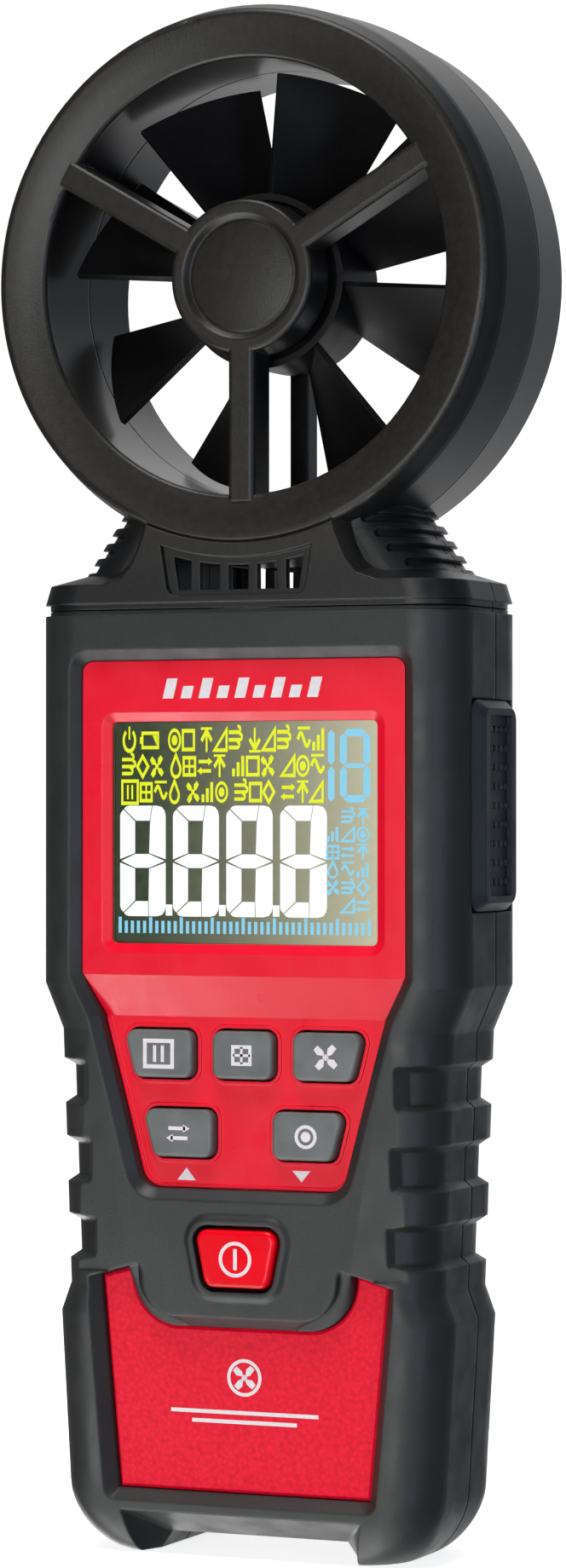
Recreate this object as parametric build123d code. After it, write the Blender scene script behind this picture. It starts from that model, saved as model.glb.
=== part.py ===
from build123d import *
import math
import os

# Handheld weather meter with a vane head. Millimetres, +Z up, front face towards -Y,
# origin on the floor plane under the middle of the body.

# ---- planes, front to back ------------------------------------------------------------
FACE_Y = -13.5          # front of the black frame and of the vane ring
REAR_Y = 13.5
BUMPER_Y = 14.3         # rear swelling above the feet
SEAM_Y = 0.8            # parting plane of the front and rear shells
SEAM_GAP = 0.25
LCD_PANEL_Y = -12.28    # red panel around the display
KEY_PANEL_Y = -10.7     # red panel around the keys
PANEL_BACK_Y = -9.2
LOW_PANEL_Y = -11.35
LOW_PANEL_BACK_Y = -9.8
LENS_Y = -11.7
LENS_BACK_Y = -10.9
KEY_TOP_Y = -12.3
POWER_TOP_Y = -14.3
CAVITY_FRONT_Y = -7.8
CAVITY_REAR_Y = 11.5
BOARD_FRONT_Y = -6.2
BOARD_BACK_Y = -4.6

# ---- body outline: height and half width ----------------------------------------------
BODY_TOP_Z = 122.05
PLATEAU_Z = 122.6       # raised land that the neck turns over
BODY_LEVELS = ((BODY_TOP_Z, 30.0), (74.0, 30.0), (68.0, 27.4), (34.7, 26.2), (31.0, 27.6), (9.0, 26.3))
FOOT_LEVELS = ((9.0, 26.3, 0.0), (6.0, 25.7, 0.25), (3.5, 24.4, 0.9), (1.4, 22.6, 2.0), (0.0, 20.2, 3.6))
FRONT_CORNER_R = 6.5
REAR_CORNER_R = 8.0
WALL = 2.5
BASE_GAP_Z = 2.35       # underside of the body between the two feet
BASE_GAP_HALF_X = 12.45
CHIN_HIGH_Z = 5.95      # the chin leans back from here to the underside
CHIN_HIGH_HALF_X = 17.2
CHIN_FOOT_Y = -6.4
CREASE_LOW = (15.4, 36.6)     # crease between the black shield and the side rails
CREASE_HIGH = (22.0, 74.0)
RAIL_FALL = 1.3         # the rails fall back by this much over 10 mm at the crease's foot
CAVITY_LEVELS = ((119.4, 30.0), (74.0, 30.0), (68.0, 27.4), (34.7, 26.2), (31.0, 26.4), (7.0, 25.2))
LIP_LEVELS = ((117.0, 30.0),) + CAVITY_LEVELS[1:-1] + ((9.5, 25.25),)
LIP_THICK = 0.9

# ---- grip notches ----------------------------------------------------------------------
NOTCH_HEIGHTS = ((58.2, 64.2, 21.0), (47.9, 54.0, 20.3), (37.9, 43.9, 19.6))
NOTCH_DEPTH = 1.1
NOTCH_SLOPE = 0.95
NOTCH_END_SLOPE = 0.8    # how far the inner end runs in per unit of height

# ---- vane head -------------------------------------------------------------------------
RING_Z = 165.5
RING_R = 36.0
BORE_R = 28.2
FLAT_R = 34.0
CAVITY_INNER_R = 30.0
CAVITY_OUTER_R = 33.6
SPOKE_ANGLES = (30.0, 150.0, 270.0)
SPOKE_BACK_Y = -7.6
BOSS_R = 9.9
BOSS_Y = -12.7
STRUT_FRONT_Y = 6.5
STRUT_BACK_Y = 9.4
REAR_BOSS_R = 7.0

# ---- impeller --------------------------------------------------------------------------
BLADES = 8
BLADE_TIP_R = 27.15
BLADE_ROOT_R = 10.9
BLADE_MID_Y = 0.35
BLADE_HALF_DEPTH = 5.25
BLADE_HALF_SPREAD = 15.3    # degrees between a blade's middle and its front edge
BLADE_FIRST_ANGLE = 71.2
BLADE_THICK = 0.85
HUB_R = 11.4
HUB_FRONT_Y = -5.7
HUB_BACK_Y = 6.0
AXLE_R = 0.75
BEARING_R = 2.0
RUNNING_CLEARANCE = 0.05

# ---- neck ------------------------------------------------------------------------------
NECK_Z = 122.75
NECK_LEVELS = ((123.5, 30.0, 0.0), (126.0, 29.2, 0.0), (127.3, 25.5, 2.8))
SHOULDER_LEVELS = ((126.6, 26.0), (135.5, 19.9), (141.0, 16.2))
SHOULDER_Y = 10.7
NECK_PLATE_FACE = (
    (12.6, 136.0),
    (13.2, 132.9),
    (14.1, 130.6),
    (15.0, 128.7),
    (16.5, 126.9),
    (19.1, 126.05),
    (20.0, 124.0),
)
NECK_PLATE_FOOT = (
    (14.2, 136.0),
    (14.9, 132.9),
    (15.6, 130.6),
    (16.6, 128.7),
    (17.9, 127.7),
    (20.0, 127.2),
    (21.5, 124.0),
)
SHOULDER_GROOVES = ((134.1, 15.9), (132.15, 17.7), (130.2, 19.3), (128.3, 21.6))
GROOVE_HALF = 0.55
GROOVE_DEPTH = 0.6
VENT_FLOOR_Y = -12.5
VENT_BOTTOM_Z = 125.1
VENT_SLOTS = 5
VENT_MID_X = -0.35
VENT_PITCH = 4.05
VENT_HALF_W = 1.45
VENT_END_TAPER = 1.1       # the outer edge of each end slot leans in by this much
SPIGOT_R = 6.0
SPIGOT_BORE_R = 3.5

# ---- display and keys ------------------------------------------------------------------
LENS_HALF_X = 18.6
LENS_LOW_Z = 79.4
LENS_HIGH_Z = 108.0
SLOPE_HIGH_Z = 75.2      # slope between the display field and the key field
SLOPE_LOW_Z = 69.8
KEY_HALF_H = 3.1
KEY_SLANT = 0.8
KEY_ROW_1_Z = 65.0
KEY_ROW_2_Z = 54.75
KEY_TRAVEL = 0.8
KEY_CLEARANCE = 0.3
KEY_RIM = 0.45
POWER_Z = 38.9
POWER_HALF_H = 3.75
POWER_TOP_HALF_X = 5.95
POWER_LOW_HALF_X = 4.45

# ---- power and fastening ---------------------------------------------------------------
CELL_R = 5.25
CELL_LENGTH = 44.5
CELL_PITCH = 10.9
CELL_LOW_Z = 12.25
CELL_Y = 6.1
DOOR_LOW_Z = 9.6
DOOR_HIGH_Z = 67.0
DOOR_HALF_X = 18.0
DOOR_GAP = 0.3
DOOR_SCREW_Z = 62.8
SCREW_PLACES = ((23.7, 113.5), (24.0, 77.5), (20.4, 27.0))
SCREW_R = 1.2
SCREW_HEAD_R = 2.2
TRIPOD_Z = 92.0
TRIPOD_BORE_R = 2.6     # minor diameter of a 1/4-20 UNC thread
TRIPOD_LENGTH = 7.0

# ---- port cover on the right side --------------------------------------------------------
COVER_MID_Z = 97.2
COVER_HALF_Z = 13.7
COVER_FRONT_Y = -7.6
COVER_BACK_Y = 6.6
COVER_FLOOR_X = 28.8
COVER_TOP_X = 31.3
COVER_CLEARANCE = 0.12


# ---- helpers -----------------------------------------------------------------------------
def facing(y):
    """Drawing plane at depth y, seen from the front: local x is X, local y is Z."""
    return Plane(origin=(0, y, 0), x_dir=(1, 0, 0), z_dir=(0, -1, 0))


def prism(sketch, y_front, y_back):
    """Extrude a front-view sketch between two depths."""
    return extrude(facing(y_back) * sketch, amount=y_back - y_front, dir=(0, -1, 0))


def box(x0, x1, y0, y1, z0, z1):
    return Pos((x0 + x1) / 2, (y0 + y1) / 2, (z0 + z1) / 2) * Box(x1 - x0, y1 - y0, z1 - z0)


def polygon(points, corner=0.0):
    face = Polygon(*points, align=None)
    return fillet(face.vertices(), corner) if corner else face


def mirrored(right_side):
    """Closed outline from the points of its right half, listed from top to bottom."""
    left_side = [(-x, z) for x, z in reversed(right_side)]
    return list(right_side) + left_side


def upright(radius, z0, z1, x=0.0, y=0.0):
    return Pos(x, y, (z0 + z1) / 2) * Cylinder(radius, z1 - z0)


def along_y(radius, y0, y1, x=0.0, z=0.0):
    return Pos(x, (y0 + y1) / 2, z) * Rot(90, 0, 0) * Cylinder(radius, y1 - y0)


def turned(points):
    """Solid of revolution about the vane axis from (radius, depth) points."""
    return Pos(0, 0, RING_Z) * revolve(Polygon(*points, align=None), axis=Axis.Y)


def level(z, half_x, front_y, back_y, front_r, back_r):
    """Horizontal rounded section of the body or the neck."""
    corners = ((-half_x, front_y), (half_x, front_y), (half_x, back_y), (-half_x, back_y))
    face = Polygon(*corners, align=None)
    face = fillet(face.vertices().group_by(Axis.Y)[0], front_r)
    face = fillet(face.vertices().group_by(Axis.Y)[-1], back_r)
    return Pos(0, 0, z) * face


def save(name, shape):
    export_step(shape, f"parts/{name}.step")


def group(solids):
    return Compound(children=list(solids))


# ---- body shells ---------------------------------------------------------------------------
def outer_level(z, half_x, draw_in=0.0):
    return level(z, half_x, FACE_Y + draw_in, REAR_Y - draw_in, FRONT_CORNER_R, REAR_CORNER_R)


def cavity_level(z, half_x):
    return level(z, half_x, CAVITY_FRONT_Y, CAVITY_REAR_Y, 2.0, REAR_CORNER_R - 1.5)


def notch_band(low, high, inner_x):
    """Block over one notch whose inner end slopes at the front and at the back."""
    sections = []
    for y, rise in ((FACE_Y - 1.0, 1.0), (FACE_Y + 2.0, -2.0), (REAR_Y - 2.0, -2.0), (REAR_Y + 1.0, 1.0)):
        end_x = inner_x - NOTCH_END_SLOPE * (rise - 0.5)
        outline = polygon(((end_x, low), (33.0, low), (33.0, high), (end_x, high)), 1.1)
        sections.append(facing(y) * outline)
    return loft(sections, ruled=True)


def grip_notches(side):
    """Cutters that sink the three finger notches into one side rail."""
    cutters = []
    for low, high, inner_x in NOTCH_HEIGHTS:
        levels = []
        for z, depth in (
            (low - 0.05, -0.1),
            (low + NOTCH_SLOPE, NOTCH_DEPTH),
            (high - NOTCH_SLOPE, NOTCH_DEPTH),
            (high + 0.05, -0.1),
        ):
            levels.append(outer_level(z, rail_half_width(z) - depth, depth))
        core = loft(levels, ruled=True)
        cutters.append(notch_band(low, high, inner_x) - core)
    if side < 0:
        cutters = [mirror(cutter, about=Plane.YZ) for cutter in cutters]
    return cutters


def rail_half_width(z):
    (high_z, high_x), (low_z, low_x) = BODY_LEVELS[2], BODY_LEVELS[3]
    return low_x + (high_x - low_x) * (z - low_z) / (high_z - low_z)


def rail_fall(side):
    """Cutter that tilts the face of one side rail outward from the crease."""
    sections = []
    for (x, z), fall in ((CREASE_LOW, RAIL_FALL), (CREASE_HIGH, 0.05)):
        corners = (
            (x, FACE_Y),
            (x + 10.0, FACE_Y + fall),
            (x + 10.0, FACE_Y - 2.0),
            (x, FACE_Y - 2.0),
        )
        sections.append(Pos(0, 0, z) * Polygon(*corners, align=None))
    cutter = loft(sections, ruled=True)
    return cutter if side > 0 else mirror(cutter, about=Plane.YZ)


def foot_gap():
    """Space between the feet: it widens to the front, where the chin leans back over it."""
    low_half_x = BASE_GAP_HALF_X + 2.3
    back = polygon(mirrored(((BASE_GAP_HALF_X, BASE_GAP_Z), (low_half_x, -1.0))))
    front = polygon(mirrored(((CHIN_HIGH_HALF_X, CHIN_HIGH_Z), (CHIN_HIGH_HALF_X - 0.9, -1.0))))
    chin = loft([facing(FACE_Y - 0.1) * front, facing(CHIN_FOOT_Y) * back], ruled=True)
    return chin + prism(back, CHIN_FOOT_Y, REAR_Y + 2)


def rear_bumper():
    """Soft swelling across the back just above the feet."""
    corners = ((10.0, 3.0), (13.5, 3.0), (BUMPER_Y, 5.5), (BUMPER_Y, 9.5), (13.5, 13.5), (10.0, 13.5))
    profile = polygon(corners, 0.6)
    across = Plane(origin=(-19.0, 0, 0), x_dir=(0, 1, 0), z_dir=(1, 0, 0))
    return extrude(across * profile, amount=38.0, dir=(1, 0, 0))


def body_block():
    """Outer shape of both shells together, before it is hollowed and split."""
    block = loft([outer_level(*place) for place in BODY_LEVELS], ruled=True)
    block += loft([outer_level(*place) for place in FOOT_LEVELS])
    block += loft([outer_level(z, 29.5, 0.45) for z in (BODY_TOP_Z - 0.5, PLATEAU_Z)])
    block -= upright(12.0, BODY_TOP_Z, PLATEAU_Z + 1.0)
    block -= foot_gap()
    for side in (-1, 1):
        block -= rail_fall(side)
        block = block - grip_notches(side)
    return block


def cavity():
    levels = [cavity_level(z, half_x - WALL) for z, half_x in CAVITY_LEVELS]
    return loft(levels, ruled=True)


def upper_panel_outline():
    right_side = ((22.8, 116.1), (22.85, 75.4), (20.1, 70.0), (17.1, 59.0), (14.1, 47.6))
    face = Polygon(*mirrored(right_side), align=None)
    lowest = face.vertices().group_by(Axis.Y)[0]
    face = fillet(lowest, 3.0)
    highest = face.vertices().group_by(Axis.Y)[-1]
    return fillet(highest, 1.5)


def lower_panel_outline():
    """Red badge plate: two horns rise beside a wide U that follows the black shield."""
    right_side = ((15.7, 37.3), (20.3, 36.0), (17.75, 8.4))
    face = Polygon(*mirrored(right_side), align=None)
    bite = polygon(((-15.75, 40.0), (15.75, 40.0), (15.3, 29.8), (-15.3, 29.8)))
    bite = fillet(bite.vertices().group_by(Axis.Y)[0], 6.5)
    return face - bite


def below_horn_tops():
    """Everything in front view up to a line just above the horn tops, and the bay of the U."""
    line = ((13.9, 40.0), (13.9, 37.96), (30.0, 33.41), (30.0, 0.0))
    return Polygon(*mirrored(line), align=None)


def key_outline(name, grow=0.0):
    """Front-view outline of one key; the outer edge of a corner key follows the panel's edge."""
    rows = {
        "hold": (-16.1, -7.05, KEY_ROW_1_Z),
        "set": (-4.25, 4.25, KEY_ROW_1_Z),
        "func": (7.05, 16.1, KEY_ROW_1_Z),
        "unit": (-13.4, -4.2, KEY_ROW_2_Z),
        "rec": (4.2, 13.4, KEY_ROW_2_Z),
    }
    left, right, mid_z = rows[name]
    slant_left = KEY_SLANT if name in ("hold", "unit") else 0.0
    slant_right = KEY_SLANT if name in ("func", "rec") else 0.0
    corners = (
        (left - slant_left, mid_z + KEY_HALF_H),
        (right + slant_right, mid_z + KEY_HALF_H),
        (right - slant_right, mid_z - KEY_HALF_H),
        (left + slant_left, mid_z - KEY_HALF_H),
    )
    face = polygon(corners, 1.3)
    return offset(face, grow) if grow else face


def power_outline(grow=0.0):
    corners = (
        (-POWER_TOP_HALF_X, POWER_Z + POWER_HALF_H),
        (POWER_TOP_HALF_X, POWER_Z + POWER_HALF_H),
        (POWER_LOW_HALF_X, POWER_Z - POWER_HALF_H),
        (-POWER_LOW_HALF_X, POWER_Z - POWER_HALF_H),
    )
    face = polygon(corners, 1.5)
    return offset(face, grow) if grow else face


KEY_NAMES = ("hold", "set", "func", "unit", "rec")


def rimmed_pocket(outline, floor_y, bevel_in, bevel_deep, reach=None):
    """Pocket with a sloped rim, sunk into the front face; the slope stays inside `reach`."""
    pocket = prism(outline, FACE_Y - 0.01, floor_y)
    rim = loft(
        [
            facing(FACE_Y + bevel_deep) * outline,
            facing(FACE_Y) * offset(outline, bevel_in),
        ],
        ruled=True,
    )
    slope = rim + prism(offset(outline, bevel_in), FACE_Y - 2.0, FACE_Y)
    if reach:
        slope = slope & prism(reach, FACE_Y - 3.0, floor_y)
    return pocket + slope


def power_collar():
    return loft(
        [
            facing(FACE_Y + 0.2) * power_outline(2.2),
            facing(FACE_Y - 0.5) * power_outline(1.2),
        ],
        ruled=True,
    )


def screw_bosses(y0, y1):
    bosses = Part()
    for x, z in SCREW_PLACES:
        for side in (-1, 1):
            bosses += along_y(2.8, y0, y1, side * x, z)
    return bosses


def screw_holes(radius, y0, y1):
    return [along_y(radius, y0, y1, side * x, z) for x, z in SCREW_PLACES for side in (-1, 1)]


def cover_recess():
    low_z = COVER_MID_Z - COVER_HALF_Z
    high_z = COVER_MID_Z + COVER_HALF_Z
    return box(COVER_FLOOR_X, 32.0, COVER_FRONT_Y, COVER_BACK_Y, low_z, high_z)


def socket_opening():
    return box(25.0, 30.0, -5.0, -1.6, COVER_MID_Z - 4.3, COVER_MID_Z + 4.3)


def front_case(block):
    front_half = box(-40, 40, -20, SEAM_Y - SEAM_GAP / 2, -1, 130)
    case = (block & front_half) + power_collar()
    case -= cavity()
    case -= rimmed_pocket(upper_panel_outline(), PANEL_BACK_Y, 1.4, 1.22)
    case -= rimmed_pocket(lower_panel_outline(), LOW_PANEL_BACK_Y, 1.5, 1.8, below_horn_tops())
    case -= box(-20.6, 20.6, PANEL_BACK_Y - 1, CAVITY_FRONT_Y + 1, 76.6, 110.8)
    for name in KEY_NAMES:
        case -= prism(key_outline(name, KEY_CLEARANCE), PANEL_BACK_Y - 1, CAVITY_FRONT_Y + 1)
    case -= prism(power_outline(0.55), -16, CAVITY_FRONT_Y + 1)
    case -= upright(SPIGOT_R + RUNNING_CLEARANCE, 118, 124)
    case -= cover_recess()
    case -= socket_opening()
    case += screw_bosses(CAVITY_FRONT_Y - 0.2, SEAM_Y - SEAM_GAP / 2)
    return case - screw_holes(SCREW_R, -7.0, 2.0)


def rear_case(block):
    rear_half = box(-40, 40, SEAM_Y + SEAM_GAP / 2, 20, -1, 130)
    case = (block & rear_half) + (rear_bumper() & rear_half)
    case -= cavity()
    case += inner_lip(0.05) & box(-40, 40, SEAM_Y - 0.9, SEAM_Y + 1.0, -1, 130)
    case += inner_lip(-0.3) & box(-40, 40, SEAM_Y + 0.3, SEAM_Y + 1.0, -1, 130)
    case += battery_walls()
    case += screw_bosses(SEAM_Y + SEAM_GAP / 2, CAVITY_REAR_Y + 0.2)
    case += along_y(3.2, 4.0, CAVITY_REAR_Y + 0.2, 0, DOOR_SCREW_Z)
    case += along_y(5.4, 5.2, CAVITY_REAR_Y + 0.2, 0, TRIPOD_Z)
    case -= door_opening(DOOR_GAP)
    case -= along_y(2.0, 5.5, 12.0, 0, DOOR_SCREW_Z)
    case -= along_y(4.0, REAR_Y - TRIPOD_LENGTH, REAR_Y + 1, 0, TRIPOD_Z)
    case -= upright(SPIGOT_R + RUNNING_CLEARANCE, 118, 124)
    case -= cover_recess()
    case -= screw_holes(SCREW_R + 0.2, 0.0, 12.0)
    return case - screw_holes(SCREW_HEAD_R + 0.25, 9.6, REAR_Y + 1)


def inner_lip(clearance):
    """Thin wall along the inside of the shells that bridges the parting gap."""
    outer = [cavity_level(z, half_x - WALL - clearance) for z, half_x in LIP_LEVELS]
    inner = [cavity_level(z, half_x - WALL - LIP_THICK) for z, half_x in LIP_LEVELS]
    lip = loft(outer, ruled=True) - loft(inner, ruled=True) - screw_holes(3.0, -5, 5)
    return lip - box(20, 32, -8, 8, COVER_MID_Z - 6, COVER_MID_Z + 6)


def battery_walls():
    """Ribs that close the battery bay at its ends and sides."""
    half_x = 1.5 * CELL_PITCH + 0.3
    walls = box(-half_x, half_x, 1.2, CAVITY_REAR_Y + 0.2, 9.4, 10.6)
    walls += box(-half_x, half_x, 1.2, CAVITY_REAR_Y + 0.2, 58.4, 59.6)
    for side in (-1, 1):
        x = side * (half_x + 0.5)
        walls += box(x - 0.5, x + 0.5, 1.2, CAVITY_REAR_Y + 0.2, 9.4, 59.6)
    return walls


def door_outline(grow):
    half_x = DOOR_HALF_X + grow
    return polygon(mirrored(((half_x, DOOR_HIGH_Z + grow), (half_x, DOOR_LOW_Z - grow))), 2.0)


def door_opening(grow):
    bay = polygon(mirrored(((16.4, 58.2), (16.4, 10.8))), 0.5)
    return prism(door_outline(grow), REAR_Y - 1.8, REAR_Y + 2) + prism(bay, 8.0, REAR_Y)


def battery_door():
    door = prism(door_outline(0.0), REAR_Y - 1.65, REAR_Y)
    for step in range(5):
        z = 16.0 + 2.2 * step
        door -= box(-8.0, 8.0, REAR_Y - 0.5, REAR_Y + 1, z - 0.5, z + 0.5)
    door -= along_y(1.45, 8, 15, 0, DOOR_SCREW_Z)
    return door - along_y(2.5, REAR_Y - 1.1, REAR_Y + 1, 0, DOOR_SCREW_Z)


# ---- panels, display, keys -------------------------------------------------------------------
def lens_outline(grow):
    size = (2 * (LENS_HALF_X + grow), LENS_HIGH_Z - LENS_LOW_Z + 2 * grow)
    return Pos(0, (LENS_LOW_Z + LENS_HIGH_Z) / 2) * RectangleRounded(*size, 0.65 + grow)


def upper_panel():
    """Red plate: a display field in front, a slope, and a lower key field."""
    panel = prism(offset(upper_panel_outline(), -0.08), LCD_PANEL_Y, PANEL_BACK_Y)
    step = Plane.YZ * Polygon(
        (LCD_PANEL_Y - 1, SLOPE_HIGH_Z),
        (LCD_PANEL_Y, SLOPE_HIGH_Z),
        (KEY_PANEL_Y, SLOPE_LOW_Z),
        (KEY_PANEL_Y, 40.0),
        (LCD_PANEL_Y - 1, 40.0),
        align=None,
    )
    panel -= extrude(step, amount=40, both=True)
    panel -= prism(lens_outline(0.12), -15, -5)
    bezel = [facing(LENS_Y) * lens_outline(0.12), facing(LCD_PANEL_Y) * lens_outline(1.35)]
    panel -= loft(bezel, ruled=True)
    border = offset(upper_panel_outline(), -0.08) - offset(upper_panel_outline(), -0.55)
    border = border & Pos(0, SLOPE_LOW_Z - 15.2) * Rectangle(60.0, 30.0)
    panel += prism(border, KEY_PANEL_Y - 0.2, KEY_PANEL_Y + 0.2)
    for name in KEY_NAMES:
        panel += prism(key_outline(name, KEY_CLEARANCE + KEY_RIM), KEY_PANEL_Y - 0.3, KEY_PANEL_Y + 0.2)
        panel -= prism(key_outline(name, KEY_CLEARANCE), -15, -5)
    return panel


def lower_panel():
    plate = prism(offset(lower_panel_outline(), -0.08), LOW_PANEL_Y, LOW_PANEL_BACK_Y)
    return chamfer(plate.faces().sort_by(Axis.Y)[0].outer_wire().edges(), 0.42)


def key_cap(name):
    cap = prism(key_outline(name), KEY_TOP_Y, -7.6)
    return fillet(cap.faces().sort_by(Axis.Y)[0].outer_wire().edges(), 0.5)


def power_key():
    cap = prism(power_outline(), POWER_TOP_Y, -7.6)
    return fillet(cap.faces().sort_by(Axis.Y)[0].outer_wire().edges(), 0.7)


def keypad_mat():
    """Silicone web behind the front wall; each key stands free in its own cut-out."""
    sheet = prism(polygon(((-17.5, 69.5), (17.5, 69.5), (13.0, 33.5), (-13.0, 33.5)), 2.0), -7.75, -7.25)
    for name in KEY_NAMES:
        sheet -= prism(key_outline(name, KEY_CLEARANCE), -9, -6)
    return sheet - prism(power_outline(KEY_CLEARANCE), -9, -6)


def window_lens():
    return prism(lens_outline(0.0), LENS_Y, LENS_BACK_Y)


def lcd_glass():
    """Display cell: its viewing side fills the window behind the lens, its ledge sits behind the panel."""
    front = prism(lens_outline(-0.05), LENS_BACK_Y + 0.05, -9.1)
    return front + box(-20.0, 20.0, -9.15, -7.95, 77.2, 110.2)


def key_centre(name):
    if name == "power":
        return (0.0, POWER_Z)
    middle = key_outline(name).center()
    return (middle.X, middle.Y)


def dome_switches():
    domes = []
    for name in KEY_NAMES + ("power",):
        x, z = key_centre(name)
        domes.append(along_y(2.2, -6.5, BOARD_FRONT_Y, x, z))
    return group(domes)


def main_board():
    board = box(-20.5, 20.5, BOARD_FRONT_Y, BOARD_BACK_Y, 30.8, 112.4)
    for side in (-1, 1):
        board -= along_y(1.1, -7, -4, side * 17.0, 33.6)
        board -= along_y(1.1, -7, -4, side * 17.5, 73.0)
    return board


def board_chips():
    places = (
        (-6.0, 92.0, 7.0, 7.0),
        (8.0, 84.0, 5.0, 4.0),
        (6.0, 101.0, 4.0, 3.0),
        (-14.0, 104.0, 3.0, 5.0),
        (9.0, 71.0, 5.0, 6.0),
    )
    return group(
        box(x - w / 2, x + w / 2, BOARD_BACK_Y, BOARD_BACK_Y + 1.0, z - h / 2, z + h / 2)
        for x, z, w, h in places
    )


def data_socket():
    shell = box(16.0, 27.3, BOARD_BACK_Y, -2.0, COVER_MID_Z - 3.8, COVER_MID_Z + 3.8)
    mouth = box(22.0, 28.0, BOARD_BACK_Y + 0.35, -2.35, COVER_MID_Z - 3.4, COVER_MID_Z + 3.4)
    tongue = box(21.5, 26.5, -3.65, -2.95, COVER_MID_Z - 2.6, COVER_MID_Z + 2.6)
    return shell - mouth + tongue


def port_cover():
    """Rubber bung: a framed, dotted face on a bevelled base, with a plug that enters the socket hole."""
    mid_y = (COVER_FRONT_Y + COVER_BACK_Y) / 2
    half_y = (COVER_BACK_Y - COVER_FRONT_Y) / 2 - COVER_CLEARANCE
    half_z = COVER_HALF_Z - COVER_CLEARANCE
    height = COVER_TOP_X - COVER_FLOOR_X
    side = Plane(origin=(COVER_FLOOR_X, mid_y, COVER_MID_Z), x_dir=(0, 1, 0), z_dir=(1, 0, 0))
    foot = RectangleRounded(2 * half_y, 2 * half_z, 2.2)
    face = RectangleRounded(2 * half_y - 3.2, 2 * half_z - 2.2, 1.6)
    cover = extrude(side * foot, amount=1.1, dir=(1, 0, 0))
    cover += loft([side.offset(1.1) * foot, side.offset(height) * face], ruled=True)
    frame_floor = side.offset(height - 0.7) * RectangleRounded(8.0, 23.3, 0.4)
    cover -= extrude(frame_floor, amount=2, dir=(1, 0, 0))
    cover += box(COVER_FLOOR_X - 1.2, COVER_FLOOR_X + 0.2, -4.2, -2.4, COVER_MID_Z - 3.2, COVER_MID_Z + 3.2)
    dots = Sketch()
    for column in range(4):
        for row in range(9):
            dots += Pos(1.75 * (column - 1.5), 2.45 * (row - 4)) * Circle(0.42)
    return cover + extrude(side.offset(height - 0.9) * dots, amount=0.55, dir=(1, 0, 0))


# ---- power -------------------------------------------------------------------------------------
def battery_cell(index):
    x = (index - 1) * CELL_PITCH
    top = CELL_LOW_Z + CELL_LENGTH
    cell = upright(CELL_R, CELL_LOW_Z, top - 1.0, x, CELL_Y)
    cell += upright(1.9, top - 1.0, top, x, CELL_Y)
    return cell if index != 1 else mirror(cell, about=Plane.XY.offset(CELL_LOW_Z + CELL_LENGTH / 2))


def battery_springs():
    """Flattened contact springs, one against each cell's flat end."""
    springs = []
    for index in range(3):
        x = (index - 1) * CELL_PITCH
        coils = Part()
        for turn in range(3):
            coils += Pos(x, CELL_Y, 11.2 + 0.32 * turn) * Torus(3.0 - 0.42 * turn, 0.28)
        if index == 1:
            coils = mirror(coils, about=Plane.XY.offset(CELL_LOW_Z + CELL_LENGTH / 2))
        springs.append(coils)
    return group(springs)


def battery_plates():
    half_x = 1.5 * CELL_PITCH - 0.2
    return group(
        (
            box(-half_x, half_x, 1.6, 10.6, 10.6, 10.9),
            box(-half_x, half_x, 1.6, 10.6, 58.1, 58.4),
        )
    )


def screw(length, head_r=SCREW_HEAD_R, shank_r=SCREW_R, head_height=1.5):
    """Pan-head screw standing at the origin, head top at y = 0 facing +Y."""
    body = along_y(head_r, -head_height, 0.0) + along_y(shank_r, -length, 0.1 - head_height)
    slot = box(-0.28, 0.28, -0.55, 0.1, -1.3, 1.3) + box(-1.3, 1.3, -0.55, 0.1, -0.28, 0.28)
    return body - slot


def case_screws():
    return group(Pos(side * x, 11.2, z) * screw(15.5) for x, z in SCREW_PLACES for side in (-1, 1))


def door_screw():
    return Pos(0, REAR_Y - 0.1, DOOR_SCREW_Z) * screw(6.5, 2.2, 1.0, 1.0)


def door_insert():
    return along_y(2.0, 5.5, 11.4, 0, DOOR_SCREW_Z) - along_y(1.05, 5.0, 12.0, 0, DOOR_SCREW_Z)


def tripod_insert():
    inner_y = REAR_Y - TRIPOD_LENGTH
    nut = along_y(4.0, inner_y, REAR_Y, 0, TRIPOD_Z)
    return nut - along_y(TRIPOD_BORE_R, inner_y - 1, REAR_Y + 1, 0, TRIPOD_Z)


# ---- vane head -----------------------------------------------------------------------------------
def around(shape, angle):
    """Turn a shape about the vane axis, seen from the front, from the +X direction."""
    return Pos(0, 0, RING_Z) * Rot(0, -angle, 0) * shape


def ring_front():
    """Front half of the ring: rounded lip, crowned face, rounded shoulder, then the slanted flank."""
    lip = ThreePointArc((BORE_R, -11.75), (BORE_R + 0.17, -12.18), (BORE_R + 0.6, -12.42))
    crown = ThreePointArc((BORE_R + 0.6, -12.42), (31.4, -13.22), (33.4, FACE_Y))
    shoulder = ThreePointArc((33.4, FACE_Y), (FLAT_R + 0.12, -13.3), (FLAT_R + 0.5, -12.7))
    end_y = SEAM_Y - SEAM_GAP / 2
    rest = Polyline(
        (FLAT_R + 0.5, -12.7),
        (35.3, -10.1),
        (35.45, -9.3),
        (RING_R, end_y),
        (CAVITY_OUTER_R + 0.3, end_y),
        (CAVITY_OUTER_R, -10.6),
        (CAVITY_INNER_R, -10.2),
        (CAVITY_INNER_R, end_y),
        (BORE_R, end_y),
        (BORE_R, -11.75),
    )
    ring = revolve(make_face(lip + crown + shoulder + rest), axis=Axis.Y)
    return Pos(0, 0, RING_Z) * ring


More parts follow.
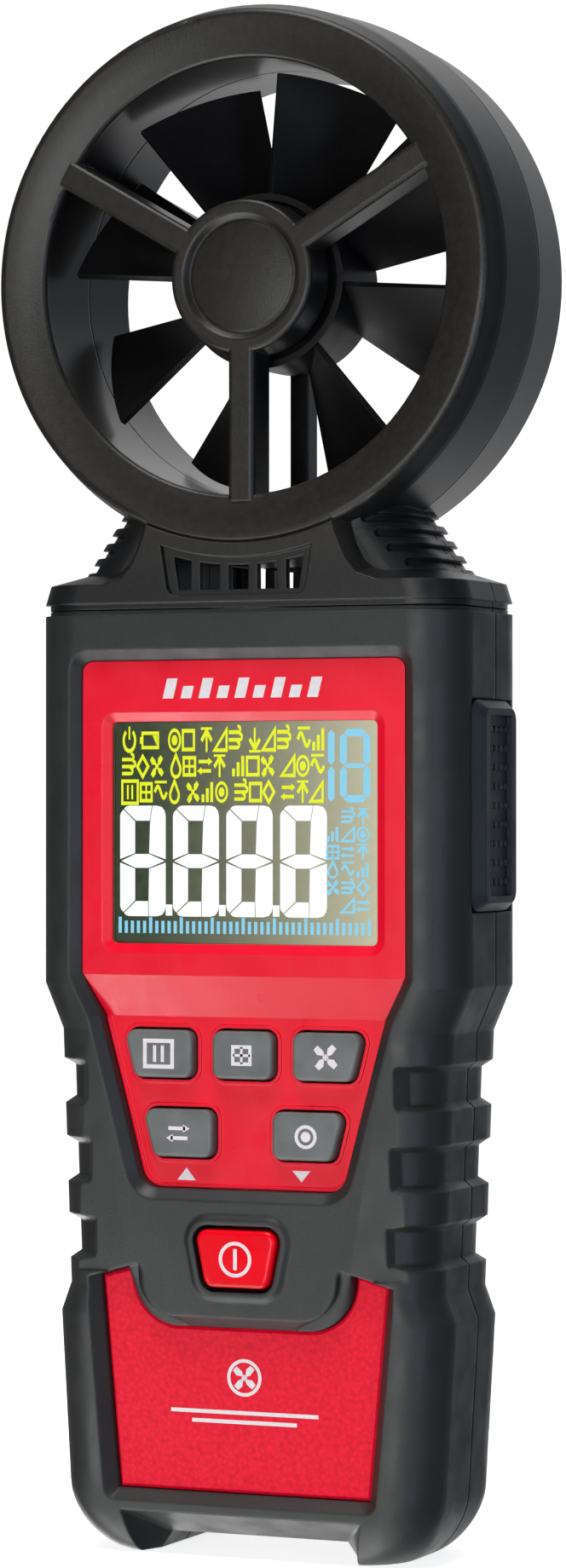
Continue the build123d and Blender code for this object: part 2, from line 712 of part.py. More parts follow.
def ring_rear():
    start_y = SEAM_Y + SEAM_GAP / 2
    points = (
        (BORE_R, start_y),
        (CAVITY_INNER_R, start_y),
        (CAVITY_INNER_R, 10.8),
        (CAVITY_OUTER_R - 0.2, 10.8),
        (CAVITY_OUTER_R + 0.2, start_y),
        (RING_R, start_y),
        (35.5, 10.6),
        (33.6, REAR_Y),
        (BORE_R, 12.9),
    )
    return turned(points)


def spoke():
    right_side = (
        (1.25, BOSS_Y),
        (1.48, BOSS_Y + 0.08),
        (1.72, BOSS_Y + 0.3),
        (1.85, BOSS_Y + 0.65),
        (1.85, SPOKE_BACK_Y),
    )
    outline = Polygon(*mirrored(right_side), align=None)
    section = Plane(origin=(9.0, 0, 0), x_dir=(0, 0, -1), z_dir=(1, 0, 0)) * outline
    return extrude(section, amount=20.0, dir=(1, 0, 0))


def front_boss():
    """Hub cap: a low dome inside a groove and a flat rim."""
    dome = ThreePointArc((0.0, -12.62), (3.6, -12.5), (7.0, -12.14))
    rest = Polyline(
        (7.0, -12.14),
        (7.25, -12.0),
        (7.5, -12.0),
        (7.95, -12.5),
        (8.1, -12.64),
        (8.35, BOSS_Y),
        (9.3, BOSS_Y),
        (9.6, -12.64),
        (9.82, -12.46),
        (BOSS_R, -12.15),
        (BOSS_R + 0.2, -7.3),
        (0.0, -7.3),
        (0.0, -12.62),
    )
    return Pos(0, 0, RING_Z) * revolve(make_face(dome + rest), axis=Axis.Y)


def shoulder_core(inset):
    levels = [
        level(z, half_x - inset, -SHOULDER_Y + inset, SHOULDER_Y - inset, 7.0, 7.0)
        for z, half_x in SHOULDER_LEVELS
    ]
    return loft(levels, ruled=True)


def shoulder_grooves():
    cutters = []
    core = shoulder_core(GROOVE_DEPTH)
    for z, inner_x in SHOULDER_GROOVES:
        for side in (-1, 1):
            slot = RectangleRounded(33.0 - inner_x, 2 * GROOVE_HALF, GROOVE_HALF - 0.02)
            cutters.append(prism(Pos(side * (33.0 + inner_x) / 2, z) * slot, -16, 16) - core)
    return cutters


def neck_plate():
    """Raised middle of the neck, flush with the ring's face, with flared sides."""
    face = facing(FACE_Y) * Polygon(*mirrored(NECK_PLATE_FACE), align=None)
    foot = facing(-SHOULDER_Y + 0.2) * Polygon(*mirrored(NECK_PLATE_FOOT), align=None)
    return loft([face, foot], ruled=True)


def neck_block():
    """Outer shape of the neck, both shells together."""
    lip = loft([outer_level(z, 29.5, 0.45) for z in (NECK_Z, 123.6)])
    base = loft([outer_level(*place) for place in NECK_LEVELS], ruled=True)
    plates = neck_plate()
    block = lip + base + shoulder_core(0.0) + plates + mirror(plates, about=Plane.XZ)
    return block - shoulder_grooves()


def vent_recess():
    """Shallow window whose top follows the ring."""
    outline = Pos(VENT_MID_X, 0) * polygon(mirrored(((11.0, 133.0), (9.6, 124.3))), 1.5)
    disc = Pos(0, RING_Z) * Circle(36.25)
    return outline - disc


def vent_slots():
    slots = Sketch()
    for index in range(VENT_SLOTS):
        x = VENT_MID_X + VENT_PITCH * (index - (VENT_SLOTS - 1) / 2)
        left_taper = VENT_END_TAPER if index == 0 else 0.1
        right_taper = VENT_END_TAPER if index == VENT_SLOTS - 1 else 0.1
        slots += Polygon(
            (x - VENT_HALF_W, 132.0),
            (x + VENT_HALF_W, 132.0),
            (x + VENT_HALF_W - right_taper, VENT_BOTTOM_Z),
            (x - VENT_HALF_W + left_taper, VENT_BOTTOM_Z),
            align=None,
        )
    disc = Pos(0, RING_Z) * Circle(37.25)
    return slots - disc


def vane_passage():
    """Everything inside the ring's outer wall that the neck must stay clear of."""
    return turned(((0.0, -20.0), (FLAT_R - 0.4, -20.0), (FLAT_R - 0.4, 20.0), (0.0, 20.0)))


def plate_groove(y_face, y_floor):
    """Fine V-like groove that separates the neck plate from the ring's face."""
    return turned(((FLAT_R, y_face), (FLAT_R + 0.45, y_face), (FLAT_R + 0.45, y_floor), (FLAT_R, y_floor)))


def swivel_spigot():
    tube = upright(SPIGOT_R, 113.5, 123.3) + upright(8.2, 123.3, 124.3)
    return tube - upright(SPIGOT_BORE_R, 110, 126)


def head_shells():
    neck = neck_block() - vane_passage() - box(-10.6, 10.6, -11.3, 11.3, 124.6, 129.0)
    neck -= upright(SPIGOT_R, 120, 123.3) + upright(8.2, 123.3, 124.3) + upright(SPIGOT_BORE_R, 124, 126)
    neck -= prism(vent_recess(), -16, VENT_FLOOR_Y) + prism(vent_recess(), -VENT_FLOOR_Y, 16)
    neck -= prism(vent_slots(), -16, 16)

    front = neck & box(-40, 40, -20, SEAM_Y - SEAM_GAP / 2, 100, 150)
    front -= plate_groove(-20, -12.7)
    front += ring_front()
    for angle in SPOKE_ANGLES:
        front += around(spoke(), angle)
    front += front_boss()
    front -= along_y(BEARING_R, -10.8, -5.0, 0, RING_Z)

    rear = neck & box(-40, 40, SEAM_Y + SEAM_GAP / 2, 20, 100, 150)
    rear += ring_rear()
    for angle in SPOKE_ANGLES:
        rear += around(box(6.0, 29.0, STRUT_FRONT_Y, STRUT_BACK_Y, -1.3, 1.3), angle)
    rear += along_y(REAR_BOSS_R, STRUT_FRONT_Y, 12.4, 0, RING_Z)
    rear -= along_y(BEARING_R, 5.0, 9.6, 0, RING_Z)

    for place in head_screw_places():
        front += along_y(2.0, -10.4, SEAM_Y - SEAM_GAP / 2, place.X, place.Z)
        front -= along_y(1.0, -9.0, 2.0, place.X, place.Z)
        rear += along_y(1.9, SEAM_Y + SEAM_GAP / 2, 11.0, place.X, place.Z)
        rear -= along_y(1.2, 0.0, 14.0, place.X, place.Z)
        rear -= along_y(1.75, 9.4, 14.0, place.X, place.Z)
    return front, rear


def head_screw_places():
    radius = (CAVITY_INNER_R + CAVITY_OUTER_R) / 2
    places = []
    for angle in (90.0, 205.0, 335.0):
        turn = math.radians(angle)
        places.append(Vector(radius * math.cos(turn), 0, RING_Z + radius * math.sin(turn)))
    return places


def head_screws():
    return group(Pos(place.X, 11.0, place.Z) * screw(14.0, 1.65, 1.0) for place in head_screw_places())


def blade_section(radius):
    """Edge-on strip at one radius: it leans from the front on one side to the back on the other."""
    half_chord = radius * math.sin(math.radians(BLADE_HALF_SPREAD))
    lean = math.atan2(BLADE_HALF_DEPTH, half_chord)
    across = (BLADE_THICK / 2 * math.sin(lean), BLADE_THICK / 2 * math.cos(lean))
    front = (half_chord, BLADE_MID_Y - BLADE_HALF_DEPTH)
    back = (-half_chord, BLADE_MID_Y + BLADE_HALF_DEPTH)
    strip = Polygon(
        (front[0] - across[0], front[1] - across[1]),
        (front[0] + across[0], front[1] + across[1]),
        (back[0] + across[0], back[1] + across[1]),
        (back[0] - across[0], back[1] - across[1]),
        align=None,
    )
    return Plane(origin=(radius, 0, 0), x_dir=(0, 0, 1), z_dir=(-1, 0, 0)) * strip


def blade():
    twisted = loft([blade_section(BLADE_ROOT_R), blade_section(BLADE_TIP_R + 0.6)], ruled=True)
    return twisted & Rot(90, 0, 0) * Cylinder(BLADE_TIP_R, 40)


def impeller():
    cup = turned(
        (
            (AXLE_R, -3.0),
            (3.2, -3.0),
            (3.2, -3.6),
            (10.2, -3.6),
            (10.5, HUB_FRONT_Y),
            (HUB_R, HUB_FRONT_Y),
            (HUB_R, HUB_BACK_Y),
            (9.6, HUB_BACK_Y),
            (9.6, 2.0),
            (3.2, 2.0),
            (3.2, HUB_BACK_Y),
            (AXLE_R, HUB_BACK_Y),
        )
    )
    one_blade = blade()
    wheel = cup
    for index in range(BLADES):
        wheel += around(one_blade, BLADE_FIRST_ANGLE + 360.0 / BLADES * index)
    return wheel


def bearing(y0, y1):
    bore = along_y(AXLE_R + RUNNING_CLEARANCE, y0 - 1, y1 + 1, 0, RING_Z)
    return along_y(BEARING_R, y0, y1, 0, RING_Z) - bore


def air_thermistor():
    """Bead on two legs that stands in the air passage of the neck."""
    bead = Pos(-4.0, 0.0, 127.4) * Sphere(0.8)
    legs = upright(0.22, 124.6, 127.2, -4.35, 0.0) + upright(0.22, 124.6, 127.2, -3.65, 0.0)
    return bead + legs


def build():
    os.makedirs("parts", exist_ok=True)
    block = body_block()
    save("front_case", front_case(block))
    save("rear_case", rear_case(block))
    save("battery_door", battery_door())
    save("upper_panel", upper_panel())
    save("lower_panel", lower_panel())
    save("window_lens", window_lens())
    save("lcd_glass", lcd_glass())
    save("backlight", box(-19.5, 19.5, -7.95, -6.4, 77.6, 109.8))
    save("lcd_connector_strip", box(-16.0, 16.0, -6.4, BOARD_FRONT_Y, 78.0, 80.5))
    save("main_board", main_board())
    save("board_chips", board_chips())
    save("dome_switches", dome_switches())
    save("keypad_mat", keypad_mat())
    for name in KEY_NAMES:
        save(f"key_{name}", key_cap(name))
    save("power_key", power_key())
    save("buzzer", along_y(5.0, BOARD_BACK_Y, -0.6, -13.0, 71.0) - along_y(0.8, -2.0, 0.0, -13.0, 71.0))
    save("data_socket", data_socket())
    save("port_cover", port_cover())
    for index in range(3):
        save(f"battery_cell_{index + 1}", battery_cell(index))
    save("battery_springs", battery_springs())
    save("battery_plates", battery_plates())
    save("case_screws", case_screws())
    save("door_screw", door_screw())
    save("door_insert", door_insert())
    save("tripod_insert", tripod_insert())

    front, rear = head_shells()
    save("head_front_shell", front)
    save("head_rear_shell", rear)
    save("head_screws", head_screws())
    save("impeller", impeller())
    save("impeller_axle", along_y(AXLE_R, -10.6, 9.4, 0, RING_Z))
    save("front_bearing", bearing(-10.8, -8.4))
    save("rear_bearing", bearing(7.2, 9.6))
    save("pickup_magnet", box(5.5, 8.5, 2.0, 3.5, RING_Z - 1.5, RING_Z + 1.5))
    save("pickup_sensor", box(-1.5, 1.5, 5.2, STRUT_FRONT_Y, RING_Z - 6.6, RING_Z - 4.0))
    save("air_thermistor", air_thermistor())
    save("swivel_spigot", swivel_spigot())
    save("swivel_clip", upright(7.5, 118.1, 119.3) - upright(SPIGOT_R, 117, 120))
    save("swivel_washer", upright(11.5, BODY_TOP_Z, NECK_Z) - upright(SPIGOT_R + 0.3, 121, 124))
    save("head_lead", upright(1.1, 108.0, 124.5, 0.0, -1.0))
    save("head_lead_plug", box(-3.0, 3.0, BOARD_BACK_Y, 0.8, 104.5, 108.0))


build()
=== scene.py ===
import math

import bmesh
import bpy
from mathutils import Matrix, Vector


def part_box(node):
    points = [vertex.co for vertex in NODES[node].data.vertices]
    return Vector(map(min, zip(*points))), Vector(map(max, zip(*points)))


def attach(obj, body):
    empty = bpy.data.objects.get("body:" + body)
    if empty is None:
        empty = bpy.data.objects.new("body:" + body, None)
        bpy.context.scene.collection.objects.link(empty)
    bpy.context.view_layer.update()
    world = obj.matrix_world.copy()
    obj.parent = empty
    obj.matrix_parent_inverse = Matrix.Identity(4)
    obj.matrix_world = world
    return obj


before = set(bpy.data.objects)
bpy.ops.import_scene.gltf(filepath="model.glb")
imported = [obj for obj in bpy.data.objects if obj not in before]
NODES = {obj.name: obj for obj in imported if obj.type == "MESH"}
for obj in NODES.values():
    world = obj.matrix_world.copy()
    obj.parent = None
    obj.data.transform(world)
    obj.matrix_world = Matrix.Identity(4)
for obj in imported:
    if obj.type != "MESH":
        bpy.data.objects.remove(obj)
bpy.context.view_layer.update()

MM = 0.001

# ---- places on the object, metres ---------------------------------------------------------
RING_Z = 0.1655             # axis of the vane ring
BORE_R = 0.0282             # its bore
RING_FACE_Y = -0.0125       # full depth of the front face's painted warm sheen, which fades out 2 mm behind it
SEAM_Y = 0.0008             # where the front and rear shells meet

# ---- display and legend sizes, millimetres ------------------------------------------------
PRINT_THICK = 0.03
LCD_PRINT_THICK = 0.02
LCD_SHIFT = -0.32           # the cell sits behind the lens, so its signs are seen through it
STROKE_GAIN = 1.35          # how much bolder than designed every line of a sign is drawn
KEY_FIELD_Y = -10.7         # surface round the keys
DIGIT_LOW_Z = 82.8
DIGIT_W = 6.55
DIGIT_LEFTS = (-17.6, -10.0, -2.4, 5.2)
BAR_COUNT = 41
BAR_HALF_X = 17.6
BAR_LOW_Z = 80.6
BAR_HIGH_Z = 82.2
UNIT_TOP_Z = 95.8
UNIT_PITCH = 2.28
UNIT_RIGHT_X = 17.8
SCALE_LOW_Z = 97.6
SCALE_HEIGHT = 9.4
UPPER_MARK_Z = 111.1

# ---- colours, linear ------------------------------------------------------------------------
CHARCOAL = (0.0165, 0.0176, 0.0170)
CHARCOAL_LIGHT = (0.0265, 0.0285, 0.0268)
# painted shade for the thin band along the shell seam
SEAM_SHADE = (0.001, 0.001, 0.001)
VANE_BLACK = (0.0045, 0.0045, 0.005)
VANE_LIGHT = (0.009, 0.009, 0.0095)
RED = (0.92, 0.0012, 0.026)
RED_DEEP = (0.82, 0.0008, 0.020)
POWER_RED = (0.97, 0.0005, 0.012)
POWER_DEEP = (0.80, 0.0004, 0.009)
WHITE_INK = (0.86, 0.80, 0.81)
LCD_DARK = (0.026, 0.043, 0.021)
LCD_PALE = (0.56, 0.53, 0.38)
LCD_WHITE = (0.96, 0.97, 0.97)
LCD_YELLOW = (0.74, 0.80, 0.012)
LCD_BLUE = (0.26, 0.64, 0.86)
FRONT_SKY = (0.42, 0.42, 0.41)
FRONT_LEFT_SKY = (0.08, 0.08, 0.08)
FRONT_RIGHT_SKY = (0.12, 0.135, 0.17)
FRONT_TOP_SKY = (0.09, 0.09, 0.095)
BACK_SKY = (1.06, 1.06, 1.06)
BACK_LEFT_SKY = (0.18, 0.18, 0.18)
BACK_RIGHT_SKY = (0.16, 0.18, 0.22)
FLOOR_GLOW = 0.80


# ---- material building blocks ----------------------------------------------------------------
class Nodes:
    """A material's node tree with short calls for the nodes used here."""

    def __init__(self, name):
        self.material = bpy.data.materials.new(name)
        self.material.use_nodes = True
        self.tree = self.material.node_tree
        self.bsdf = self.tree.nodes["Principled BSDF"]
        self.coords = self.tree.nodes.new("ShaderNodeTexCoord")

    def link(self, source, target):
        self.tree.links.new(source, target)

    def noise(self, scale, detail=2.0, rough=0.5):
        node = self.tree.nodes.new("ShaderNodeTexNoise")
        node.inputs["Scale"].default_value = scale
        node.inputs["Detail"].default_value = detail
        node.inputs["Roughness"].default_value = rough
        self.link(self.coords.outputs["Object"], node.inputs["Vector"])
        return node.outputs["Fac"]

    def cells(self, scale, feature="F1", randomness=1.0):
        node = self.tree.nodes.new("ShaderNodeTexVoronoi")
        node.feature = feature
        node.inputs["Scale"].default_value = scale
        node.inputs["Randomness"].default_value = randomness
        self.link(self.coords.outputs["Object"], node.inputs["Vector"])
        return node.outputs["Distance"]

    def position(self, axis):
        node = self.tree.nodes.new("ShaderNodeSeparateXYZ")
        self.link(self.coords.outputs["Object"], node.inputs["Vector"])
        return node.outputs[axis]

    def remap(self, value, from_min, from_max, to_min=0.0, to_max=1.0, smooth=False):
        node = self.tree.nodes.new("ShaderNodeMapRange")
        node.interpolation_type = "SMOOTHSTEP" if smooth else "LINEAR"
        node.inputs["From Min"].default_value = from_min
        node.inputs["From Max"].default_value = from_max
        node.inputs["To Min"].default_value = to_min
        node.inputs["To Max"].default_value = to_max
        self.link(value, node.inputs["Value"])
        return node.outputs["Result"]

    def math(self, operation, a, b=None):
        node = self.tree.nodes.new("ShaderNodeMath")
        node.operation = operation
        for socket, value in zip(node.inputs, (a, b)):
            if value is None:
                continue
            if isinstance(value, (int, float)):
                socket.default_value = value
            else:
                self.link(value, socket)
        return node.outputs["Value"]

    def mix(self, factor, a, b):
        node = self.tree.nodes.new("ShaderNodeMix")
        node.data_type = "RGBA"
        self.link(factor, node.inputs["Factor"])
        for key, value in (("A", a), ("B", b)):
            socket = [s for s in node.inputs if s.name == key and s.type == "RGBA"][0]
            if isinstance(value, tuple):
                socket.default_value = (*value, 1.0)
            else:
                self.link(value, socket)
        return [s for s in node.outputs if s.type == "RGBA"][0]

    def bump(self, height, depth_mm, edge_mm=0.0):
        node = self.tree.nodes.new("ShaderNodeBump")
        node.inputs["Distance"].default_value = depth_mm * MM
        self.link(height, node.inputs["Height"])
        if edge_mm:
            self.link(self.soft_edges(edge_mm), node.inputs["Normal"])
        return node.outputs["Normal"]

    def soft_edges(self, radius_mm):
        node = self.tree.nodes.new("ShaderNodeBevel")
        node.samples = 6
        node.inputs["Radius"].default_value = radius_mm * MM
        return node.outputs["Normal"]

    def set(self, **values):
        for name, value in values.items():
            socket = self.bsdf.inputs[name.replace("_", " ")]
            if isinstance(value, (int, float)):
                socket.default_value = value
            elif isinstance(value, tuple):
                socket.default_value = (*value, 1.0)
            else:
                self.link(value, socket)
        return self


def painted_seam_shade(n, colour):
    """Painted shade: darken a colour in a thin band where the front and rear shells meet, standing in
    for the shadow in the gap and on its rounded edges.
    """
    off = n.math("ABSOLUTE", n.math("SUBTRACT", n.position("Y"), SEAM_Y))
    return n.mix(n.remap(off, 0.30 * MM, 0.45 * MM, 1.0, 0.0), colour, SEAM_SHADE)


def moulded(
    name, colour, colour_2, grain_mm, depth_mm, rough, edge_mm=0.25, spread=0.08, ior=1.46, seam=False
):
    """Injection-moulded plastic: a spark-eroded grain, faint flow tones and softened edges."""
    n = Nodes(name)
    grain = n.noise(1.0 / (grain_mm * MM), 3.0, 0.6)
    pits = n.cells(0.7 / (grain_mm * MM), "SMOOTH_F1")
    height = n.math("ADD", grain, n.math("MULTIPLY", pits, 0.5))
    tone = n.remap(n.noise(70.0, 3.0), 0.35, 0.65)
    fine = n.remap(grain, 0.35, 0.65, -0.5, 0.5)
    blend = n.math("ADD", n.math("MULTIPLY", tone, 0.6), n.math("MULTIPLY", fine, 0.8))
    base = n.mix(blend, colour, colour_2)
    n.set(
        Base_Color=painted_seam_shade(n, base) if seam else base,
        Roughness=n.remap(n.noise(220.0, 2.0), 0.3, 0.7, rough - spread, rough + spread),
        Normal=n.bump(height, depth_mm, edge_mm),
        IOR=ior,
    )
    return n.material


def ring_plastic():
    """The head's plastic: dark charcoal with a painted warm sheen on the front face, cooler sides and
    a smooth dark bore.
    """
    n = Nodes("ring_plastic")
    grain = n.noise(4600.0, 3.0, 0.65)
    pits = n.cells(3300.0, "SMOOTH_F1")
    height = n.math("ADD", grain, n.math("MULTIPLY", pits, 0.6))
    # mask of the front face above the neck, which gets the painted sheen
    depth = n.remap(n.position("Y"), RING_FACE_Y + 0.002, RING_FACE_Y, 0.0, 1.0, True)
    above = n.remap(n.position("Z"), 0.1255, 0.1315, 0.0, 1.0, True)
    face = n.math("MULTIPLY", depth, above)
    mottle = n.remap(n.noise(900.0, 4.0, 0.7), 0.3, 0.7)
    dark = n.mix(mottle, (0.0052, 0.0056, 0.0062), (0.0098, 0.0104, 0.0110))
    # painted sheen: a lighter, warmer tone on the front face stands in for the sheen it catches
    painted_sheen = n.mix(mottle, (0.0090, 0.0083, 0.0070), (0.0185, 0.0168, 0.0142))
    across = n.math("POWER", n.position("X"), 2.0)
    upward = n.math("POWER", n.math("SUBTRACT", n.position("Z"), RING_Z), 2.0)
    radius = n.math("SQRT", n.math("ADD", across, upward))
    inner = n.remap(radius, BORE_R - 0.0005, BORE_R - 0.0002)
    band = n.math("MULTIPLY", n.remap(radius, BORE_R + 0.0003, BORE_R), inner)
    bore = n.math("MULTIPLY", band, n.remap(n.position("Y"), -0.0118, -0.0110))
    outside = n.mix(face, dark, painted_sheen)
    n.set(
        Base_Color=n.mix(bore, outside, (0.002, 0.002, 0.0025)),
        Roughness=n.remap(bore, 0.0, 1.0, 0.38, 0.32),
        Normal=n.bump(n.math("MULTIPLY", height, n.remap(bore, 0.0, 1.0, 1.0, 0.25)), 0.014, 0.3),
        IOR=1.38,
    )
    return n.material


def red_gloss(name, colour, deep, rough, grain_mm, depth_mm, coat=0.0, edge_mm=0.2, ior=1.38):
    """Red plastic of the upper panel and the power key, with a fine grain under the sheen."""
    n = Nodes(name)
    grain = n.noise(1.0 / (grain_mm * MM), 3.0, 0.6)
    cloud = n.remap(n.noise(90.0, 3.0), 0.3, 0.7)
    n.set(
        Base_Color=n.mix(cloud, deep, colour),
        Roughness=n.remap(n.noise(300.0, 2.0), 0.3, 0.7, rough - 0.04, rough + 0.05),
        Normal=n.bump(grain, depth_mm, edge_mm),
        Coat_Weight=coat,
        Coat_Roughness=0.08,
        IOR=ior,
    )
    return n.material


def red_mottled():
    """Grained red of the lower badge plate: small rounded islands."""
    n = Nodes("red_mottled")
    islands = n.cells(1700.0, "SMOOTH_F1")
    fine = n.noise(5200.0, 3.0, 0.6)
    height = n.math("ADD", islands, n.math("MULTIPLY", fine, 0.35))
    tone = n.remap(n.math("ADD", islands, n.math("MULTIPLY", n.noise(2500.0, 2.0), 0.4)), 0.3, 0.95)
    n.set(
        Base_Color=n.mix(tone, (0.96, 0.0020, 0.033), (0.76, 0.0010, 0.021)),
        Roughness=n.remap(tone, 0.0, 1.0, 0.50, 0.62),
        Normal=n.bump(height, 0.030, 0.2),
        IOR=1.25,
    )
    return n.material


def key_silk():
    """Silky grey of the keys, with softened edges."""
    n = Nodes("key_silk")
    fine = n.noise(4200.0, 2.0)
    cloud = n.remap(n.noise(260.0, 2.0), 0.3, 0.7)
    n.set(
        Base_Color=n.mix(cloud, (0.098, 0.108, 0.103), (0.142, 0.154, 0.147)),
        Roughness=n.remap(fine, 0.3, 0.7, 0.42, 0.52),
        Normal=n.bump(fine, 0.008, 0.35),
        IOR=1.45,
    )
    return n.material


def clear_lens():
    n = Nodes("clear_lens")
    n.set(
        Base_Color=(0.97, 0.985, 0.975),
        Transmission_Weight=1.0,
        Roughness=n.remap(n.noise(120.0, 2.0), 0.3, 0.7, 0.0, 0.015),
        IOR=1.2,
    )
    return n.material


def display_field():
    """Backlit cell: dark green-grey on the left that pales evenly to warm grey on the right."""
    n = Nodes("display_field")
    across = n.remap(n.position("X"), -0.019, 0.0185)
    shade = n.math("POWER", across, 1.75)
    haze = n.remap(n.noise(900.0, 2.0), 0.3, 0.7, -0.02, 0.02)
    colour = n.mix(n.math("ADD", shade, haze), LCD_DARK, LCD_PALE)
    n.set(Base_Color=(0.004, 0.005, 0.004), Roughness=0.5, Specular_IOR_Level=0.1)
    n.set(Emission_Color=colour, Emission_Strength=1.0)
    return n.material


def lit_sign(name, colour, strength):
    """A lit segment of the display, slightly uneven as a backlight is."""
    n = Nodes(name)
    dim = tuple(0.97 * c for c in colour)
    uneven = n.remap(n.noise(400.0, 2.0), 0.3, 0.7)
    n.set(
        Base_Color=(0.01, 0.01, 0.01),
        Roughness=0.5,
        Specular_IOR_Level=0.1,
        Emission_Color=n.mix(uneven, dim, colour),
        Emission_Strength=strength,
    )
    return n.material


def ink(name, colour):
    """Pad-printed ink, a little thinner in places."""
    n = Nodes(name)
    worn = n.remap(n.noise(1500.0, 3.0), 0.25, 0.75)
    thin = tuple(0.88 * c for c in colour)
    n.set(
        Base_Color=n.mix(worn, thin, colour),
        Roughness=n.remap(worn, 0.0, 1.0, 0.55, 0.45),
        Normal=n.bump(n.noise(6000.0, 2.0), 0.004),
    )
    return n.material


def metal(name, colour, rough):
    n = Nodes(name)
    streak = n.noise(2600.0, 2.0, 0.6)
    n.set(
        Base_Color=n.mix(n.remap(streak, 0.3, 0.7), tuple(0.85 * c for c in colour), colour),
        Metallic=1.0,
        Roughness=n.remap(streak, 0.3, 0.7, rough - 0.06, rough + 0.08),
        Normal=n.bump(streak, 0.004),
    )
    return n.material


def circuit_board():
    n = Nodes("circuit_board")
    tracks = n.remap(n.cells(420.0, "DISTANCE_TO_EDGE", 0.5), 0.03, 0.06)
    n.set(
        Base_Color=n.mix(tracks, (0.04, 0.22, 0.09), (0.012, 0.10, 0.04)),
        Roughness=n.remap(tracks, 0.0, 1.0, 0.3, 0.42),
        Normal=n.bump(tracks, 0.02),
    )
    return n.material


def white_plastic():
    n = Nodes("white_plastic")
    fine = n.noise(1800.0, 2.0)
    n.set(
        Base_Color=n.mix(n.remap(fine, 0.3, 0.7), (0.66, 0.66, 0.63), (0.74, 0.74, 0.71)),
        Roughness=n.remap(fine, 0.3, 0.7, 0.4, 0.5),
        Normal=n.bump(fine, 0.006),
    )
    return n.material


# the case carries the painted shade along its shell seam
CASE = moulded(
    "case_plastic", CHARCOAL, CHARCOAL_LIGHT, 0.20, 0.016, 0.46, edge_mm=0.55, ior=1.39, seam=True
)
RING = ring_plastic()
VANE = moulded(
    "vane_plastic", VANE_BLACK, VANE_LIGHT, 0.26, 0.012, 0.45, edge_mm=0.12, spread=0.05, ior=1.24
)
COVER = moulded("cover_elastomer", (0.012, 0.015, 0.020), (0.020, 0.023, 0.029), 0.24, 0.012, 0.5)
PANEL = red_gloss("panel_red_satin", RED, RED_DEEP, 0.31, 0.45, 0.016)
BADGE = red_mottled()
KEY = key_silk()
POWER = red_gloss(
    "power_red_gloss", POWER_RED, POWER_DEEP, 0.24, 0.6, 0.004, coat=0.12, edge_mm=0.4, ior=1.24
)
LENS = clear_lens()
FIELD = display_field()
SILICONE = moulded("silicone", (0.010, 0.010, 0.011), (0.018, 0.018, 0.019), 0.3, 0.01, 0.6)
STEEL = metal("turned_steel", (0.60, 0.60, 0.61), 0.3)
BLACK_OXIDE = metal("black_oxide", (0.06, 0.06, 0.065), 0.38)
BRASS = metal("turned_brass", (0.72, 0.50, 0.20), 0.28)
BOARD = circuit_board()
WHITE = white_plastic()
CELL_WRAP = moulded("cell_wrap", (0.07, 0.08, 0.10), (0.10, 0.11, 0.13), 0.5, 0.003, 0.32)
INK = ink("legend_ink", WHITE_INK)
SIGN_WHITE = lit_sign("sign_white", LCD_WHITE, 1.12)
SIGN_YELLOW = lit_sign("sign_yellow", LCD_YELLOW, 1.15)
SIGN_BLUE = lit_sign("sign_blue", LCD_BLUE, 1.05)

NODE_MATERIALS = {
    CASE: ("front_case", "rear_case", "battery_door"),
    RING: ("head_front_shell", "head_rear_shell"),
    VANE: ("impeller", "board_chips", "buzzer", "pickup_sensor", "air_thermistor"),
    COVER: ("port_cover",),
    PANEL: ("upper_panel",),
    BADGE: ("lower_panel",),
    KEY: ("key_hold", "key_set", "key_func", "key_unit", "key_rec"),
    POWER: ("power_key",),
    LENS: ("window_lens",),
    FIELD: ("lcd_glass",),
    SILICONE: ("keypad_mat", "lcd_connector_strip", "head_lead"),
    STEEL: (
        "impeller_axle",
        "pickup_magnet",
        "swivel_spigot",
        "swivel_clip",
        "battery_springs",
        "battery_plates",
        "dome_switches",
        "data_socket",
    ),
    BLACK_OXIDE: ("case_screws", "door_screw", "head_screws"),
    BRASS: ("door_insert", "tripod_insert", "front_bearing", "rear_bearing"),
    BOARD: ("main_board",),
    WHITE: ("backlight", "swivel_washer", "head_lead_plug"),
    CELL_WRAP: ("battery_cell_1", "battery_cell_2", "battery_cell_3"),
}


def dress_nodes():
    for material, names in NODE_MATERIALS.items():
        for name in names:
            node = NODES[name]
            if not node.data.materials:
                node.data.materials.append(material)
            for index in range(len(node.material_slots)):
                node.material_slots[index].material = material


# ---- flat signs -------------------------------------------------------------------------------
def ribbon(points, width, closed=False):
    """Quads that follow a line of (x, z) points with mitred corners."""
    width = width * STROKE_GAIN
    count = len(points)
    left, right = [], []
    for index, (x, z) in enumerate(points):
        before = points[(index - 1) % count] if closed or index else None
        after = points[(index + 1) % count] if closed or index < count - 1 else None
        into = Vector((x - before[0], z - before[1])).normalized() if before else None
        out = Vector((after[0] - x, after[1] - z)).normalized() if after else None
        into = into or out
        out = out or into
        along = (into + out).normalized()
        normal = Vector((-along.y, along.x))
        reach = width / 2 / max(0.45, normal.dot(Vector((-into.y, into.x))))
        left.append((x + normal.x * reach, z + normal.y * reach))
        right.append((x - normal.x * reach, z - normal.y * reach))
    pieces = []
    for index in range(count if closed else count - 1):
        follow = (index + 1) % count
        pieces.append([left[index], left[follow], right[follow], right[index]])
    return pieces


def arc(x, z, radius, start, end, steps=20):
    turns = [math.radians(start + (end - start) * k / steps) for k in range(steps + 1)]
    return [(x + radius * math.cos(t), z + radius * math.sin(t)) for t in turns]


def disc(x, z, radius, steps=24):
    return [arc(x, z, radius, 0, 360 - 360 / steps, steps - 1)]


